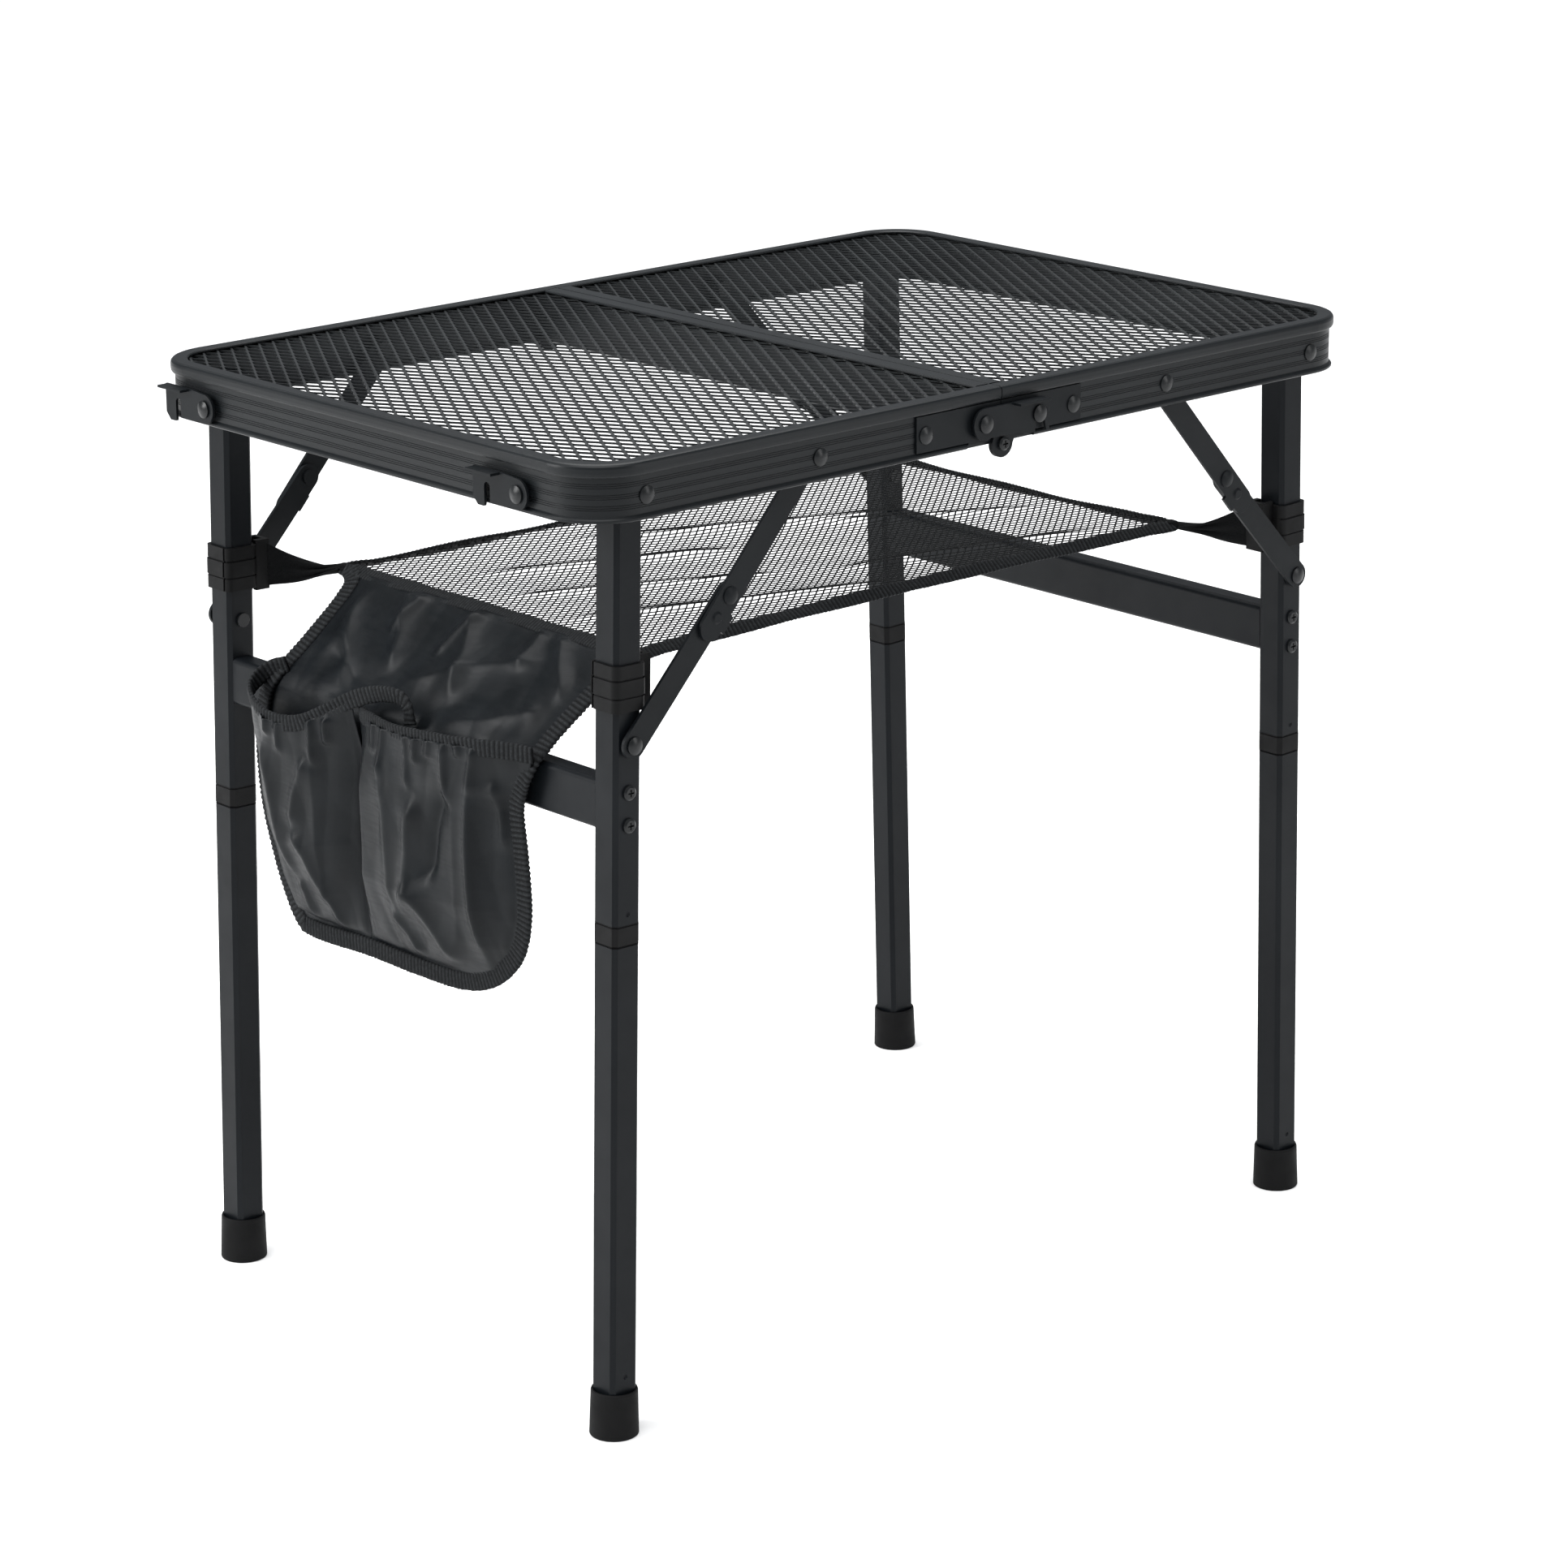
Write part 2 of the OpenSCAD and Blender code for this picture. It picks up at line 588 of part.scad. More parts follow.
module organiser_pockets() {
    x = -drape_x - 0.4;
    color(cloth) for (p = [[-114, 28, 16], [30, 104, 13]]) difference() {
        translate([x - p[2], p[0], sheet_low]) cube([p[2], p[1] - p[0], pocket_top - sheet_low]);
        translate([x - p[2] + 1, p[0] + 1, sheet_low + 1.5]) cube([p[2], p[1] - p[0] - 2, pocket_top]);
    }
}

module organiser_binding() {
    x = -drape_x - 0.4;
    color(dark) {
        // pocket mouths
        for (p = [[-114, 28, 16], [30, 104, 13]]) translate([x - p[2] - 1.2, p[0] + 1, pocket_top - 9]) cube([1.2, p[1] - p[0] - 2, 10]);
        // both sides and the bottom of the hanging sheet
        for (s = [[-118.5, 0], [104.4, 0]]) translate([x - 1.2, s[0], sheet_low - 3]) cube([3, 4, rail_top - sheet_low - 4]);
        translate([x - 1.2, -114.4, sheet_low - 3]) cube([3, 218.7, 2.9]);
    }
}

half_frame(hook_x, 2.4, 2.4, base_z + 10);  // left_frame
half_bar();  // left_bar
half_mesh();  // left_mesh
left_rivets();
half_bushes();  // left_bushes
plate_left();  // front_plate_left
mirror([0, 1, 0]) plate_left();  // back_plate_left
hinge_screws();
to_right() half_frame(catch_x, 2, 2, catch_z);  // right_frame
to_right() half_bar();  // right_bar
to_right() half_mesh();  // right_mesh
right_rivets();
to_right() half_bushes();  // right_bushes
plate_right();  // front_plate_right
mirror([0, 1, 0]) plate_right();  // back_plate_right
hook();  // front_hook
mirror([0, 1, 0]) hook();  // back_hook
front_latch();
back_latch();
upper_leg();  // left_front_leg
mirror([0, 1, 0]) upper_leg();  // left_back_leg
half_rail();  // left_rail
half_rail_screws();  // left_rail_screws
half_leg_rivets();  // left_leg_rivets
insert();  // left_front_insert
mirror([0, 1, 0]) insert();  // left_back_insert
clip();  // left_front_clip
mirror([0, 1, 0]) clip();  // left_back_clip
to_right() upper_leg();  // right_front_leg
to_right() mirror([0, 1, 0]) upper_leg();  // right_back_leg
to_right() half_rail();  // right_rail
to_right() half_rail_screws();  // right_rail_screws
to_right() half_leg_rivets();  // right_leg_rivets
to_right() insert();  // right_front_insert
to_right() mirror([0, 1, 0]) insert();  // right_back_insert
to_right() clip();  // right_front_clip
to_right() mirror([0, 1, 0]) clip();  // right_back_clip
lower_leg();  // left_front_lower
mirror([0, 1, 0]) lower_leg();  // left_back_lower
to_right() lower_leg();  // right_front_lower
to_right() mirror([0, 1, 0]) lower_leg();  // right_back_lower
foot();  // left_front_foot
mirror([0, 1, 0]) foot();  // left_back_foot
to_right() foot();  // right_front_foot
to_right() mirror([0, 1, 0]) foot();  // right_back_foot
strut_top();  // left_front_strut_top
mirror([0, 1, 0]) strut_top();  // left_back_strut_top
to_right() strut_top();  // right_front_strut_top
to_right() mirror([0, 1, 0]) strut_top();  // right_back_strut_top
strut_low();  // left_front_strut_low
mirror([0, 1, 0]) strut_low();  // left_back_strut_low
to_right() strut_low();  // right_front_strut_low
to_right() mirror([0, 1, 0]) strut_low();  // right_back_strut_low
shelf_net();
shelf_binding();
shelf_straps();
organiser_sheet();
organiser_pockets();
organiser_binding();
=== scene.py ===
"""Looks of a folding camp side table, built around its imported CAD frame. Metres, +Z up."""
import json
import math

import bpy
import numpy as np
from mathutils import Matrix, Vector


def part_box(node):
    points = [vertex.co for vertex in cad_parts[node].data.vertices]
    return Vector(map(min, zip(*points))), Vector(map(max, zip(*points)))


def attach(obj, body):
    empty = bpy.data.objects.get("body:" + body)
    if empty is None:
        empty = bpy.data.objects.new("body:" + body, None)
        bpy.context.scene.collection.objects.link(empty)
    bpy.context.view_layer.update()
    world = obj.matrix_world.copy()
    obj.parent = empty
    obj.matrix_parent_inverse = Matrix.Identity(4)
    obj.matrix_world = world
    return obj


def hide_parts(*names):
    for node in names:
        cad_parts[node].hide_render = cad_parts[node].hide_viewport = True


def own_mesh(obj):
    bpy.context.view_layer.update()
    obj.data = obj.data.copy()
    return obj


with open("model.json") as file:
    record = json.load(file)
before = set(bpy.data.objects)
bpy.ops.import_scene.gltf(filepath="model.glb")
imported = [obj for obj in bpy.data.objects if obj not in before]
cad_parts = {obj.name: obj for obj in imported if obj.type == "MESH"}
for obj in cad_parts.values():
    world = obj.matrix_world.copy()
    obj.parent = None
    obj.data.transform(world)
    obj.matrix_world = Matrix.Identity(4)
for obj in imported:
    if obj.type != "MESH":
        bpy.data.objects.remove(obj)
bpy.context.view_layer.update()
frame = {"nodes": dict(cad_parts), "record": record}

MM = 0.001
SIDES = (("left", -1), ("right", 1))

# ---- driving sizes, taken from the frame ----
MESH_BOX = {side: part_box(f"{side}_mesh") for side, _ in SIDES}
NET_LOW, NET_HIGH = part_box("shelf_binding")
NET_X, NET_Y = NET_HIGH.x, NET_HIGH.y
NET_Z = (NET_LOW.z + NET_HIGH.z) / 2

# ---- expanded metal: pitch of the diamonds along X and Y, and the strand's section ----
SHORT_WAY = 9.9 * MM
LONG_WAY = 16.0 * MM
STRAND_WIDTH = 1.50 * MM
STRAND_THICK = 1.05 * MM
STRAND_TILT = math.radians(-5)
BOND = 0.9 * MM
CORNER_RADIUS = 30.8 * MM
SHEET_LIFT = 1.2 * MM

# ---- netting: pitch of its cells, the lean of their rows, and half a thread's width and height ----
CELL_X = 4.45 * MM
CELL_Y = 5.2 * MM
NET_SHEAR = 0.26
THREAD = 0.52 * MM
THREAD_HIGH = 0.38 * MM
NET_BOW_X = 3 * MM
NET_BOW_Y = 5 * MM
NET_SAG = 5 * MM
NET_FOLD_GAIN = 1.5
NET_RIPPLE = 0.3 * MM
BINDING_LEAN = 0.75
BINDING_SWAY = 0.25

# ---- tape: its section as shares of half the width and half the thickness ----
TAPE_EDGE = [-1, -0.94, -0.6, -0.2, 0.2, 0.6, 0.94, 1, 0.94, 0.6, 0.2, -0.2, -0.6, -0.94]
TAPE_FACE = [0, 0.8, 1, 1, 1, 1, 0.8, 0, -0.8, -1, -1, -1, -1, -0.8]
TAPE_RIB = 0.34
TAPE_WEAVE = 0.93
TAPE_WANDER = 0.03
TAPE_STEP = 1.5 * MM

# ---- tapes of the model: width and thickness ----
NET_TAPE = (8 * MM, 1.8 * MM)
EDGE_TAPE = (11 * MM, 3.0 * MM)
MOUTH_TAPE = (10 * MM, 2.2 * MM)
JOIN_TAPE = (9 * MM, 2.0 * MM)

# ---- corner straps and their knots ----
STRAP_HALF = 11 * MM
GATHERED_HALF = 2.6 * MM
STRAP_TURN = math.radians(80)
STRAP_SAG = 2.5 * MM
STRAP_THICK = 1.1 * MM
PLEAT_HEIGHT = 1.9 * MM
KNOT_HALF = np.array([5.5, 3.6, 3.4]) * MM

# ---- cloth ----
CLOTH_THICK = 0.5 * MM
SHEET_STEP = 1.5 * MM
SLOPE_FOLD_GAIN = 1.3
POCKET_FOLD_GAIN = 1.5
SLOPE_CRINKLE = 2.2 * MM
POCKET_CRINKLE = 3.4 * MM
SLOPE_LENGTH = 78 * MM
DEEPEST_DENT = -3 * MM
SEWN_X = -0.2795
BACK_X = -0.2792
LEFT_DEPTH = 17 * MM
RIGHT_DEPTH = 16 * MM


# ---------------------------------------------------------------- mesh helpers
def build(name, verts, faces, material, smooth=True):
    """A mesh object from arrays of points and faces."""
    mesh = bpy.data.meshes.new(name)
    mesh.from_pydata([tuple(v) for v in verts], [], [tuple(f) for f in faces])
    mesh.update()
    mesh.polygons.foreach_set("use_smooth", [smooth] * len(mesh.polygons))
    mesh.materials.append(material)
    obj = bpy.data.objects.new(name, mesh)
    bpy.context.scene.collection.objects.link(obj)
    return obj


def grid_faces(rows, columns, wrap=False, start=0):
    """Quads of a grid of rows x columns points; wrap joins the last column to the first."""
    r = np.arange(rows - 1)[:, None] * columns
    c = np.arange(columns if wrap else columns - 1)[None, :]
    d = (c + 1) % columns
    quads = np.stack([r + c, r + d, r + columns + d, r + columns + c], axis=-1)
    return (quads.reshape(-1, 4) + start).tolist()


def unit(v):
    return v / np.maximum(np.linalg.norm(v, axis=-1, keepdims=True), 1e-12)


def smooth_path(points, step):
    """Points every step metres along a smooth curve through the given ones."""
    p = np.array(points, float)
    ghost = np.vstack([2 * p[0] - p[1], p, 2 * p[-1] - p[-2]])
    fine = []
    for k in range(len(p) - 1):
        a, b, c, d = ghost[k:k + 4]
        t = np.linspace(0, 1, 24, endpoint=False)[:, None]
        fine.append(0.5 * (2 * b + (c - a) * t + (2 * a - 5 * b + 4 * c - d) * t ** 2
                           + (3 * b - a - 3 * c + d) * t ** 3))
    fine = np.vstack(fine + [p[-1:]])
    lengths = np.r_[0, np.cumsum(np.linalg.norm(np.diff(fine, axis=0), axis=1))]
    count = max(2, int(round(lengths[-1] / step)) + 1)
    at = np.linspace(0, lengths[-1], count)
    return np.stack([np.interp(at, lengths, fine[:, k]) for k in range(p.shape[1])], axis=1)


def webbing(name, path, across, section):
    """A ribbed woven tape swept along path; across is its width direction at each point. Every other
    ring is marked for a painted highlight, the rings between for painted shade.
    """
    width, thick = section
    path = np.asarray(path, float)
    along = unit(np.gradient(path, axis=0))
    across = unit(across - (across * along).sum(1, keepdims=True) * along)
    out = np.cross(along, across)
    rings, corners = len(path), len(TAPE_EDGE)
    order = np.arange(rings)
    ribs = 1 + TAPE_RIB * ((order % 2) * 2 - 1)[:, None]
    weave = np.where(np.arange(corners) % 2 == 0, 1.0, TAPE_WEAVE)[None, :]
    wander = 1 + TAPE_WANDER * np.sin(order * 2.1 + order ** 2 * 0.37)
    half = np.full((rings, 1), width) / 2 * wander[:, None]
    sideways = np.array(TAPE_EDGE)[None, :] * half
    raised = np.array(TAPE_FACE)[None, :] * ribs * weave * thick / 2
    points = path[:, None] + across[:, None] * sideways[..., None] + out[:, None] * raised[..., None]
    faces = grid_faces(rings, corners, wrap=True)
    faces += [list(range(corners))[::-1], list(range((rings - 1) * corners, rings * corners))]
    tape = build(name, points.reshape(-1, 3), faces, WEBBING)
    # painted shade on the ribs: every other ring is marked 1 so the material paints it light, and the
    # rings between are painted dark
    rib = tape.data.attributes.new("rib", "FLOAT", "POINT")
    rib.data.foreach_set("value", np.repeat(order % 2, corners).astype(np.float32))
    return tape


def creases(a, b, folds):
    """Height of soft folds at (a, b): each is (a0, b0, a1, b1, width, height)."""
    total = np.zeros_like(a)
    for a0, b0, a1, b1, width, height in folds:
        length = math.hypot(a1 - a0, b1 - b0)
        da, db = (a1 - a0) / length, (b1 - b0) / length
        t = ((a - a0) * da + (b - b0) * db) / length
        off = (a - a0) * -db + (b - b0) * da
        off = off + 0.12 * width * np.sin(9 * t + a0 * 300)
        ends = np.clip(np.minimum(t, 1 - t) * 4 + 0.1, 0, 1)
        ends = ends * ends * (3 - 2 * ends)
        total += height * ends * np.exp(0.25 - np.sqrt((off / width) ** 2 + 0.0625))
    return total


def crinkles(a, b, size, height):
    """Fine random creases: ridged waves in several directions."""
    total = np.zeros_like(a)
    for k in range(6):
        angle = 0.5 + 1.07 * k
        along = a * math.cos(angle) + b * math.sin(angle)
        other = b * math.cos(angle) - a * math.sin(angle)
        warp = 1.3 * np.sin(other / size * 1.1 + 2.1 * k)
        patch = 0.5 + 0.5 * np.sin(other / size * 0.7 + along / size * 0.5 + k)
        total += np.abs(np.sin(along / size * (0.8 + 0.17 * k) + warp)) * patch
    return height * (total / 6 - 0.3)


# ---------------------------------------------------------------- materials
class Nodes:
    """Short hand for wiring one material's nodes."""

    def __init__(self, name):
        self.material = bpy.data.materials.new(name)
        self.material.use_nodes = True
        self.tree = self.material.node_tree
        self.shader = self.tree.nodes["Principled BSDF"]
        self.place = self.add("ShaderNodeTexCoord").outputs["Object"]

    def add(self, kind, **inputs):
        node = self.tree.nodes.new(kind)
        for key, value in inputs.items():
            self.put(node.inputs[key.replace("_", " ")], value)
        return node

    def put(self, socket, value):
        if isinstance(value, bpy.types.NodeSocket):
            self.tree.links.new(value, socket)
        else:
            socket.default_value = value

    def noise(self, scale, detail=3.0, rough=0.5):
        return self.add("ShaderNodeTexNoise", Vector=self.place, Scale=scale, Detail=detail,
                        Roughness=rough).outputs["Fac"]

    def bands(self, direction, scale, vector=None):
        node = self.add("ShaderNodeTexWave", Vector=vector or self.place, Scale=scale)
        node.bands_direction = direction
        return node.outputs["Fac"]

    def math(self, operation, a, b=0.5):
        node = self.tree.nodes.new("ShaderNodeMath")
        node.operation = operation
        self.put(node.inputs[0], a)
        self.put(node.inputs[1], b)
        return node.outputs[0]

    def between(self, factor, low, high):
        """low where factor is about 0.3, high where it is about 0.7."""
        return self.add("ShaderNodeMapRange", Value=factor, From_Min=0.3, From_Max=0.7,
                        To_Min=low, To_Max=high).outputs[0]

    def colours(self, factor, dark, light):
        node = self.tree.nodes.new("ShaderNodeMix")
        node.data_type = "RGBA"
        self.put(node.inputs["Factor"], factor)
        self.put(node.inputs["A"], (*dark, 1))
        self.put(node.inputs["B"], (*light, 1))
        return node.outputs["Result"]

    def bump(self, height, depth, strength=1.0, edge=0.0):
        node = self.add("ShaderNodeBump", Height=height, Distance=depth, Strength=strength)
        if edge:
            bevel = self.tree.nodes.new("ShaderNodeBevel")
            bevel.samples = 4
            bevel.inputs["Radius"].default_value = edge
            self.tree.links.new(bevel.outputs[0], node.inputs["Normal"])
        self.tree.links.new(node.outputs[0], self.shader.inputs["Normal"])

    def finish(self, colour, roughness, **sockets):
        self.put(self.shader.inputs["Base Color"], colour)
        self.put(self.shader.inputs["Roughness"], roughness)
        for key, value in sockets.items():
            self.put(self.shader.inputs[key.replace("_", " ")], value)
        return self.material


def satin_paint(name, dark, light, rough, grain, edge, specular=0.5):
    """Black powder coat: fine orange peel, faint clouding and rounded edges."""
    n = Nodes(name)
    cloud = n.noise(14, 4)
    peel = n.noise(grain, 2, 0.6)
    n.bump(peel, 0.05 * MM, 0.5, edge)
    return n.finish(n.colours(n.between(cloud, 0, 1), dark, light),
                    n.between(n.noise(60, 5), rough - 0.05, rough + 0.06),
                    Specular_IOR_Level=specular)


def brushed_extrusion(name):
    """Black anodised profile: fine lines drawn along it."""
    n = Nodes(name)
    cloud = n.noise(9, 3)
    lines = n.add("ShaderNodeMapping", Vector=n.place, Scale=(18, 18, 2600)).outputs[0]
    streak = n.add("ShaderNodeTexNoise", Vector=lines, Scale=1.0, Detail=2.0).outputs["Fac"]
    drawn = n.math("MULTIPLY", streak, 0.6)
    speckle = n.math("MULTIPLY", n.noise(2500, 2), 0.5)
    n.bump(n.math("ADD", drawn, speckle), 0.03 * MM, 0.5, 0.25 * MM)
    tone = n.colours(n.between(cloud, 0, 1), (0.0044, 0.0056, 0.0066), (0.0072, 0.0088, 0.0100))
    return n.finish(tone, n.between(streak, 0.34, 0.44), Specular_IOR_Level=0.2)


def moulded(name, tone, rough, grain):
    """Matt black moulding with a fine spark-eroded grain."""
    n = Nodes(name)
    n.bump(n.noise(grain, 3, 0.6), 0.08 * MM, 0.6, 0.35 * MM)
    dark = tuple(tone * c for c in (0.82, 0.84, 0.88))
    colour = n.colours(n.between(n.noise(25, 4), 0, 1), dark, (tone, tone, tone * 1.05))
    roughness = n.between(n.noise(120, 4), rough - 0.06, rough + 0.08)
    return n.finish(colour, roughness, Specular_IOR_Level=0.10)


def taffeta(name):
    """Thin black polyester: a fine plain weave with a soft sheen."""
    n = Nodes(name)
    warp = n.bands("Y", 620)
    weft = n.bands("Z", 620)
    weave = n.math("MULTIPLY", warp, weft)
    slub = n.add("ShaderNodeMapping", Vector=n.place, Scale=(60, 60, 700)).outputs[0]
    slub = n.add("ShaderNodeTexNoise", Vector=slub, Scale=1.0, Detail=3.0).outputs["Fac"]
    n.bump(n.math("ADD", weave, n.math("MULTIPLY", slub, 0.6)), 0.06 * MM, 0.45)
    patches = n.between(n.noise(45, 5), 0, 1)
    tone = n.colours(patches, (0.0026, 0.0035, 0.0044), (0.0050, 0.0064, 0.0078))
    return n.finish(tone, n.between(slub, 0.34, 0.46), Specular_IOR_Level=0.15)


def woven_tape(name):
    """Ribbed webbing: coarse threads across, crossed by fine ones; the marked ribs get a painted
    highlight and the rings between get painted shade.
    """
    n = Nodes(name)
    threads = n.add("ShaderNodeTexVoronoi", Vector=n.place, Scale=900.0)
    threads.feature = "SMOOTH_F1"
    cells = n.math("ADD", threads.outputs["Distance"], n.math("MULTIPLY", n.noise(1600, 2), 0.5))
    n.bump(cells, 0.35 * MM, 0.9)
    rib = n.tree.nodes.new("ShaderNodeAttribute")
    rib.attribute_name = "rib"
    lit = n.math("MULTIPLY", rib.outputs["Fac"], n.between(n.noise(500, 3), 0.5, 1.0))
    # painted highlight on the marked ribs, painted shade on the rings between
    tone = n.colours(lit, (0.0020, 0.0023, 0.0026), (0.0250, 0.0270, 0.0290))
    return n.finish(tone, 0.7, Specular_IOR_Level=0.10)


def thread(name):
    """Knitted netting thread."""
    n = Nodes(name)
    n.bump(n.noise(4000, 2), 0.05 * MM, 0.6)
    patches = n.between(n.noise(300, 3), 0, 1)
    tone = n.colours(patches, (0.0045, 0.0050, 0.0054), (0.0110, 0.0118, 0.0124))
    return n.finish(tone, 0.7, Specular_IOR_Level=0.1)


LOOKS = {
    "frame": brushed_extrusion("black_anodised"),
    "steel": satin_paint("black_coated_steel", (0.0040, 0.0050, 0.0060), (0.0062, 0.0076, 0.0088),
                         0.42, 1600, 0.3 * MM, 0.12),
    "leg": satin_paint("black_coated_tube", (0.0030, 0.0040, 0.0052), (0.0050, 0.0063, 0.0078),
                       0.40, 1600, 0.3 * MM, 0.12),
    "mesh": satin_paint("black_mesh_coat", (0.009, 0.010, 0.011), (0.015, 0.017, 0.018),
                        0.42, 1800, 0.0, 0.2),
    "rivet": satin_paint("black_rivet_coat", (0.005, 0.006, 0.0065), (0.008, 0.009, 0.010),
                         0.30, 1400, 0.25 * MM, 0.25),
    "plastic": moulded("black_moulding", 0.0055, 0.52, 2200),
    "rubber": moulded("black_rubber", 0.0058, 0.64, 1500),
    "cloth": taffeta("black_taffeta"),
    "net": thread("black_thread"),
}
WEBBING = woven_tape("black_webbing")


def dress_cad():
    """Each CAD node takes the look of its own material slot."""
    slots = {part["node"]: part["material_slot"] for part in frame["record"]["subparts"]}
    tubes = [name for name in slots if name.endswith(("_leg", "_lower", "_rail"))]
    slots.update(dict.fromkeys(tubes, "leg"))
    for name, obj in frame["nodes"].items():
        look = LOOKS[slots[name]]
        if not obj.material_slots:
            obj.data.materials.append(look)
        for material_slot in obj.material_slots:
            material_slot.material = look


# ---------------------------------------------------------------- expanded metal top
def strip(x_mid, phase, y_low, y_high, z_mid):
    """One zigzag strip of the sheet: rings of four corners along Y."""
    half = LONG_WAY / 2
    first, last = math.floor(y_low / half), math.ceil(y_high / half)
    steps = np.arange(first, last + 1)
    turn = np.where((steps + phase) % 2 == 0, 1.0, -1.0)
    y = np.stack([steps * half - BOND, steps * half + BOND], axis=1).ravel()
    turn = np.repeat(turn, 2)
    keep = (y > y_low) & (y < y_high)
    y, turn = y[keep], turn[keep]
    reach = (SHORT_WAY / 2 - STRAND_WIDTH * math.cos(STRAND_TILT)) / 2
    rise = STRAND_WIDTH * math.sin(STRAND_TILT) / 2
    centre = np.stack([x_mid + turn * reach, y, z_mid - turn * rise], axis=1)
    wide = np.array([math.cos(STRAND_TILT), 0, math.sin(STRAND_TILT)]) * STRAND_WIDTH / 2
    deep = np.array([-math.sin(STRAND_TILT), 0, math.cos(STRAND_TILT)]) * STRAND_THICK / 2
    corners = np.array([-wide - deep, wide - deep, wide + deep, -wide + deep])
    return centre[:, None] + corners[None]


def inside_corners(points, low, high, outer):
    """True where points are inside the sheet's rounded corners; outer is the rounded end's sign."""
    x = points[:, 0] * outer - (max(abs(low.x), abs(high.x)) - CORNER_RADIUS)
    y = np.abs(points[:, 1]) - (high.y - CORNER_RADIUS)
    return ~((x > 0) & (y > 0) & (np.hypot(x, y) > CORNER_RADIUS))


def expanded_metal(side, outer):
    low, high = MESH_BOX[side]
    z_mid = low.z + SHEET_LIFT
    points, faces, start = [], [], 0
    first, last = math.ceil(low.x / (SHORT_WAY / 2)), math.floor(high.x / (SHORT_WAY / 2))
    for k in range(first, last + 1):
        rings = strip(k * SHORT_WAY / 2, k, low.y, high.y, z_mid)
        n = len(rings)
        quads = grid_faces(n, 4, wrap=True, start=start)
        middle = (rings[:-1].mean(1) + rings[1:].mean(1)) / 2
        shown = np.repeat(inside_corners(middle, low, high, outer), 4)
        faces += [q for q, ok in zip(quads, shown) if ok]
        points.append(rings.reshape(-1, 3))
        start += 4 * n
    top = build(f"{side}_expanded_metal", np.vstack(points), faces, LOOKS["mesh"], smooth=False)
    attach(top, f"{side}_half")
    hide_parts(f"{side}_mesh")


# ---------------------------------------------------------------- net shelf
NET_FOLDS = [
    (-0.205, -0.040, 0.020, -0.115, 5 * MM, 2.0 * MM),
    (-0.190, 0.020, -0.020, -0.040, 4 * MM, 1.4 * MM),
    (-0.170, 0.070, 0.000, 0.020, 5 * MM, 1.6 * MM),
    (-0.080, 0.100, 0.150, 0.010, 6 * MM, 1.6 * MM),
    (0.000, -0.060, 0.190, -0.110, 5 * MM, 2.2 * MM),
    (0.060, 0.040, 0.205, -0.050, 5 * MM, 1.6 * MM),
]


def net_point(u, v):
    """Where the net's flat spot (u, v), each from -1 to 1, hangs at rest."""
    x = u * (NET_X - NET_BOW_X * (1 - v ** 2))
    y = v * (NET_Y - NET_BOW_Y * (1 - u ** 2))
    inner = (1 - u ** 4) * (1 - v ** 4)
    z = NET_Z - NET_SAG * (1 - u ** 2) * (1 - v ** 2) + NET_FOLD_GAIN * inner * creases(x, y, NET_FOLDS)
    z = z + inner * NET_RIPPLE * np.sin(x * 60 + 3 * np.sin(y * 30)) * np.cos(y * 45 + x * 25)
    return np.stack([x, y, z], axis=-1)


def net_edges():
    """End points of every thread between two knots of the sheared diamond netting."""
    columns = round(2 * NET_X / CELL_X)
    rows = round(2 * (NET_Y + NET_SHEAR * NET_X) / CELL_Y) + 1
    i, j = np.meshgrid(np.arange(columns), np.arange(-rows, rows + 1), indexing="ij")
    knots = (i + j) % 2 == 0
    ends = []
    for across, along in ((0, 0), (1, 1), (1, -1)):
        x = (i[knots] + across) * 2 * NET_X / columns - NET_X
        y = (j[knots] + along) * CELL_Y / 2 + NET_SHEAR * x
        ends.append(np.stack([x / NET_X, y / NET_Y], axis=1))
    a, b = np.vstack([ends[0], ends[0]]), np.vstack([ends[1], ends[2]])
    shown = np.abs(a[:, 1] + b[:, 1]) < 2
    a, b = np.clip(a[shown], -1, 1), np.clip(b[shown], -1, 1)
    return net_point(a[:, 0], a[:, 1]), net_point(b[:, 0], b[:, 1])


def squash_with_legs(obj, side):
    """The net half is attached to its half of the table and given its own copy of the mesh."""
    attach(obj, f"{side}_half")
    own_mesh(obj)


def net_half(side, sign):
    """The threads of one half of the net, and the area of their surface."""
    a, b = net_edges()
    middle = a[:, 0] + b[:, 0]
    mine = middle < 0 if sign < 0 else middle >= 0
    a, b = a[mine], b[mine]
    along = unit(b - a)
    up = np.tile([0.0, 0.0, 1.0], (len(a), 1))
    across = unit(np.cross(along, up))
    up = np.cross(across, along)
    ring = [(1, 0), (0, 1), (-1, 0), (0, -1)]
    offsets = np.stack([across * c * THREAD + up * s * THREAD_HIGH for c, s in ring], axis=1)
    points = np.concatenate([a[:, None] + offsets, b[:, None] + offsets], axis=1)
    base = np.arange(len(a))[:, None] * 8
    quads = [base + np.array([k, (k + 1) % 4, (k + 1) % 4 + 4, k + 4]) for k in range(4)]
    net = build(f"shelf_net_{side}", points.reshape(-1, 3), np.vstack(quads).tolist(), LOOKS["net"])
    squash_with_legs(net, side)
    girth = 4 * math.hypot(THREAD, THREAD_HIGH)
    return net, float(np.linalg.norm(b - a, axis=1).sum()) * girth


